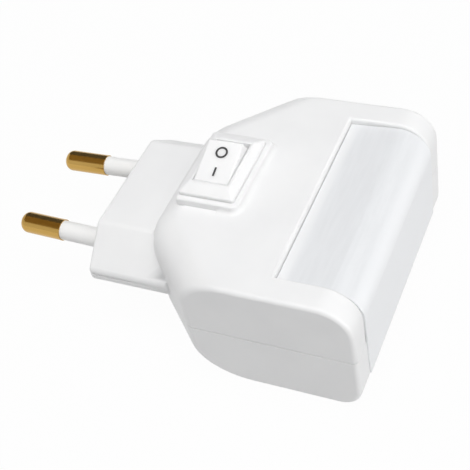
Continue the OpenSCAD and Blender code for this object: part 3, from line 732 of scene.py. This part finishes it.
def frosted_lens():
    """Frosted diffuser, streaked along its bend, with a paler band at its back edge and a painted
    highlight across its front.
    """
    finish, tree, shader = new_finish("frosted_lens")
    streaks = noise(tree, place_of(tree, (1, 0.12, 1)), 0.9)
    body = ramp(tree, streaks, ((0.35, (0.755, 0.765, 0.78)), (0.65, (0.78, 0.79, 0.805))))
    coords = tree.nodes.new("ShaderNodeTexCoord")
    parts = tree.nodes.new("ShaderNodeSeparateXYZ")
    tree.links.new(coords.outputs["Object"], parts.inputs["Vector"])
    for start, end, share, pale in PALE_AND_PAINTED_LIGHT_BANDS:
        band = tree.nodes.new("ShaderNodeMapRange")
        band.interpolation_type = "SMOOTHSTEP"
        band.inputs["From Min"].default_value = start * MM
        band.inputs["From Max"].default_value = end * MM
        band.inputs["To Max"].default_value = share
        tree.links.new(parts.outputs["X"], band.inputs["Value"])
        blend = tree.nodes.new("ShaderNodeMix")
        blend.data_type = "RGBA"
        tree.links.new(band.outputs["Result"], blend.inputs["Factor"])
        tree.links.new(body, blend.inputs["A"])
        blend.inputs["B"].default_value = pale
        body = blend.outputs["Result"]
    tree.links.new(body, shader.inputs["Base Color"])
    frost = noise(tree, place_of(tree), 0.3, 4.0)
    tree.links.new(spread(tree, frost, 0.5, 0.58), shader.inputs["Roughness"])
    tree.links.new(bumps(tree, frost, 0.003), shader.inputs["Normal"])
    shader.inputs["Subsurface Weight"].default_value = 0.15
    shader.inputs["Subsurface Radius"].default_value = (1, 1, 1)
    shader.inputs["Subsurface Scale"].default_value = 0.6 * MM
    return finish


lens_finish = frosted_lens()
case_finish = surface("case_plastic", (0.89, 0.89, 0.89), (0.86, 0.86, 0.862), patch=9,
                      roughness=(0.36, 0.44), grain=0.45, relief=0.004, milky=0.08)
switch_finish = surface("switch_plastic", (0.95, 0.95, 0.95), (0.925, 0.925, 0.93), patch=6,
                        roughness=(0.28, 0.34), grain=0.35, relief=0.002, milky=0.6)

# Finishes of the pieces that keep the shape of their solids, by material slot
FINISHES = {
    "sleeve_plastic": surface("sleeve_plastic", (0.93, 0.925, 0.915), (0.9, 0.895, 0.885),
                              patch=5, roughness=(0.3, 0.38), grain=0.4, relief=0.003),
    "pin_brass": surface("turned_brass", (0.6, 0.38, 0.11), (0.52, 0.32, 0.085), patch=3,
                         roughness=(0.14, 0.22), grain=0.25, relief=0.0012, stretch=(0.15, 1, 1),
                         metallic=1.0),
    "mark_paint": surface("mark_paint", (0.06, 0.06, 0.062), (0.045, 0.045, 0.047), patch=1,
                          roughness=(0.4, 0.5), grain=0.2, relief=0.002),
    "bridge_plastic": surface("bridge_plastic", (0.72, 0.71, 0.67), (0.68, 0.67, 0.63), patch=5,
                              roughness=(0.4, 0.5), grain=0.4, relief=0.004),
    "spring_steel": surface("spring_steel", (0.6, 0.61, 0.63), (0.52, 0.53, 0.55), patch=1,
                            roughness=(0.22, 0.32), grain=0.2, relief=0.001, metallic=1.0),
    "contact_copper": surface("contact_copper", (0.82, 0.45, 0.28), (0.7, 0.36, 0.21), patch=2,
                              roughness=(0.25, 0.38), grain=0.3, relief=0.002, metallic=1.0),
    "terminal_brass": surface("terminal_brass", (0.76, 0.58, 0.27), (0.66, 0.48, 0.2), patch=2,
                              roughness=(0.28, 0.4), grain=0.3, relief=0.002, metallic=1.0),
    "board_laminate": surface("board_laminate", (0.34, 0.25, 0.11), (0.28, 0.2, 0.085),
                              patch=2.5, roughness=(0.45, 0.6), grain=0.3, relief=0.006,
                              stretch=(1, 0.4, 1)),
    "led_epoxy": surface("led_epoxy", (0.82, 0.84, 0.8), (0.76, 0.78, 0.74), patch=1.5,
                         roughness=(0.08, 0.14), grain=0.4, relief=0.001),
    "tinned_wire": surface("tinned_wire", (0.66, 0.66, 0.64), (0.56, 0.56, 0.54), patch=0.8,
                           roughness=(0.25, 0.4), grain=0.15, relief=0.002, metallic=1.0),
    "film_box": surface("film_box", (0.62, 0.3, 0.045), (0.54, 0.25, 0.035), patch=3,
                        roughness=(0.4, 0.5), grain=0.35, relief=0.005),
    "can_sleeve": surface("can_sleeve", (0.022, 0.028, 0.05), (0.015, 0.019, 0.035), patch=3,
                          roughness=(0.3, 0.4), grain=0.3, relief=0.003),
    "chip_epoxy": surface("chip_epoxy", (0.028, 0.028, 0.029), (0.018, 0.018, 0.019), patch=1,
                          roughness=(0.5, 0.62), grain=0.12, relief=0.006),
    "resistor_blue": surface("resistor_blue", (0.12, 0.33, 0.5), (0.09, 0.27, 0.43), patch=1,
                             roughness=(0.35, 0.48), grain=0.25, relief=0.006),
    "resistor_tan": surface("resistor_tan", (0.66, 0.5, 0.3), (0.58, 0.43, 0.25), patch=1,
                            roughness=(0.35, 0.48), grain=0.25, relief=0.006),
    "wire_brown": surface("wire_brown", (0.16, 0.065, 0.025), (0.12, 0.045, 0.018), patch=2,
                          roughness=(0.35, 0.45), grain=0.3, relief=0.004),
    "wire_blue": surface("wire_blue", (0.03, 0.11, 0.42), (0.022, 0.08, 0.34), patch=2,
                         roughness=(0.35, 0.45), grain=0.3, relief=0.004),
    "screw_steel": surface("screw_steel", (0.62, 0.62, 0.61), (0.5, 0.5, 0.49), patch=1,
                           roughness=(0.25, 0.4), grain=0.25, relief=0.003, stretch=(1, 1, 0.3),
                           metallic=1.0),
}
SLOT_OF = {row["node"]: row["material_slot"] for row in frame["record"]["subparts"]}
for node, carried in nodes.items():
    if SLOT_OF.get(node) in FINISHES:
        paint(carried, FINISHES[SLOT_OF[node]])
for piece, finish in ((upper, case_finish), (lower, case_finish), (lens_cover, lens_finish),
                      (switch_frame, switch_finish), (rocker_cap, switch_finish)):
    paint(piece, finish)


# ---- studio ---------------------------------------------------------------------

def add_camera():
    """A long lens from the near front corner, a little above and slightly rolled."""
    camera = bpy.data.objects.new("camera", bpy.data.cameras.new("camera"))
    bpy.context.scene.collection.objects.link(camera)
    right, lower_edge, ahead = ((0.91193651, 0.37832174, -0.15888505),
                                (0.17168569, -0.70348438, -0.68966205),
                                (-0.3726873, 0.60164972, -0.70648552))
    turn = Matrix((right, lower_edge, ahead)).transposed() @ Matrix.Diagonal((1, -1, -1))
    place = Vector((91.433, -114.745, 131.772)) * MM
    camera.matrix_world = Matrix.Translation(place) @ turn.to_4x4()
    camera.data.sensor_width = 36
    camera.data.lens = 80.45
    camera.data.clip_start = 0.005
    bpy.context.scene.camera = camera


def add_lamp(name, place, target, size, level, glossy=True):
    """A square soft light; level is the brightness that it gives a white card at the target."""
    lamp = bpy.data.objects.new(name, bpy.data.lights.new(name, "AREA"))
    bpy.context.scene.collection.objects.link(lamp)
    place, target = Vector(place), Vector(target)
    lamp.location = place
    lamp.rotation_euler = (target - place).to_track_quat("-Z", "Y").to_euler()
    lamp.data.shape = "SQUARE"
    lamp.data.size = size
    distance = (target - place).length
    lamp.data.energy = level * math.pi ** 2 * (distance ** 2 + size ** 2 / 3)
    lamp.visible_glossy = glossy


def seen_directly(tree):
    """1 for what is looked at, also in a mirror or through glass, and 0 for what only lights."""
    path = tree.nodes.new("ShaderNodeLightPath")
    value = path.outputs["Is Camera Ray"]
    for ray in ("Is Glossy Ray", "Is Transmission Ray"):
        either = tree.nodes.new("ShaderNodeMath")
        either.operation = "MAXIMUM"
        tree.links.new(value, either.inputs[0])
        tree.links.new(path.outputs[ray], either.inputs[1])
        value = either.outputs[0]
    return value


def sheet_finish(name, colour, seen):
    """A pale sheet: seen is how much of what the camera sees is plain white, not shade."""
    finish, tree, shader = new_finish(name)
    tree.links.new(ramp(tree, noise(tree, place_of(tree), 60), ((0.3, colour), (0.7, colour))),
                   shader.inputs["Base Color"])
    shader.inputs["Roughness"].default_value = 0.9
    shader.inputs["Specular IOR Level"].default_value = 0.0
    glow = tree.nodes.new("ShaderNodeEmission")
    share = tree.nodes.new("ShaderNodeMath")
    share.operation = "MULTIPLY"
    share.inputs[1].default_value = seen
    tree.links.new(seen_directly(tree), share.inputs[0])
    mix = tree.nodes.new("ShaderNodeMixShader")
    output = next(n for n in tree.nodes if n.type == "OUTPUT_MATERIAL")
    tree.links.new(share.outputs[0], mix.inputs["Fac"])
    tree.links.new(shader.outputs["BSDF"], mix.inputs[1])
    tree.links.new(glow.outputs["Emission"], mix.inputs[2])
    tree.links.new(mix.outputs["Shader"], output.inputs["Surface"])
    return finish


def add_floor():
    """A white paper floor just below the solids."""
    deselect_all()
    bpy.ops.mesh.primitive_plane_add(size=6, location=(0, 0, cad_box[0][2] - 0.0001))
    floor = bpy.context.object
    floor.name = floor.data.name = "floor"
    paint(floor, sheet_finish("floor_paper", (0.62, 0.62, 0.62), 0.97))


def add_card(name, place, target, size, colour):
    """A card that only reflections see."""
    deselect_all()
    bpy.ops.mesh.primitive_plane_add(size=1)
    card = bpy.context.object
    card.name = card.data.name = name
    place, target = Vector(place), Vector(target)
    card.scale = (*size, 1)
    card.location = place
    card.rotation_euler = (target - place).to_track_quat("-Z", "Y").to_euler()
    paint(card, surface(name, colour, colour, patch=50, roughness=(0.9, 0.95), grain=5,
                        relief=0.01, specular=0.0))
    for ray in ("camera", "diffuse", "transmission", "volume_scatter", "shadow"):
        setattr(card, "visible_" + ray, False)


def add_world():
    """A dim room whose walls look white."""
    world = bpy.data.worlds.new("studio")
    bpy.context.scene.world = world
    world.use_nodes = True
    tree = world.node_tree
    tree.nodes.clear()
    output = tree.nodes.new("ShaderNodeOutputWorld")
    room = tree.nodes.new("ShaderNodeBackground")
    room.inputs["Color"].default_value = (0.98, 0.99, 1, 1)
    room.inputs["Strength"].default_value = 0.2
    seen = tree.nodes.new("ShaderNodeBackground")
    mix = tree.nodes.new("ShaderNodeMixShader")
    tree.links.new(seen_directly(tree), mix.inputs["Fac"])
    tree.links.new(room.outputs["Background"], mix.inputs[1])
    tree.links.new(seen.outputs["Background"], mix.inputs[2])
    tree.links.new(mix.outputs["Shader"], output.inputs["Surface"])


add_camera()
add_world()
add_floor()
add_lamp("lamp_above", (0.04, -0.02, 0.8), (0.02, 0, 0), 0.4, 0.26, glossy=False)
add_lamp("lamp_near_corner", (0.25, -0.25, 0.7), (0.02, 0, 0), 1.0, 0.47, glossy=False)
add_lamp("lamp_plug_side", (-0.4, -0.1, 0.6), (0.02, 0, 0), 0.6, 0.12, glossy=False)
add_lamp("lamp_lens_side", (0.6, 0.0, 0.06), (0.03, 0, 0), 0.3, 0.33)
add_card("dark_card", (-0.05, 0.14, 0.10), (-0.01, 0, 0), (0.30, 0.20), (0.2, 0.2, 0.24))
add_card("amber_card", (-0.11, -0.03, 0.16), (-0.01, 0, 0), (0.20, 0.14), (0.48, 0.35, 0.16))

bpy.context.scene.view_settings.view_transform = "Standard"
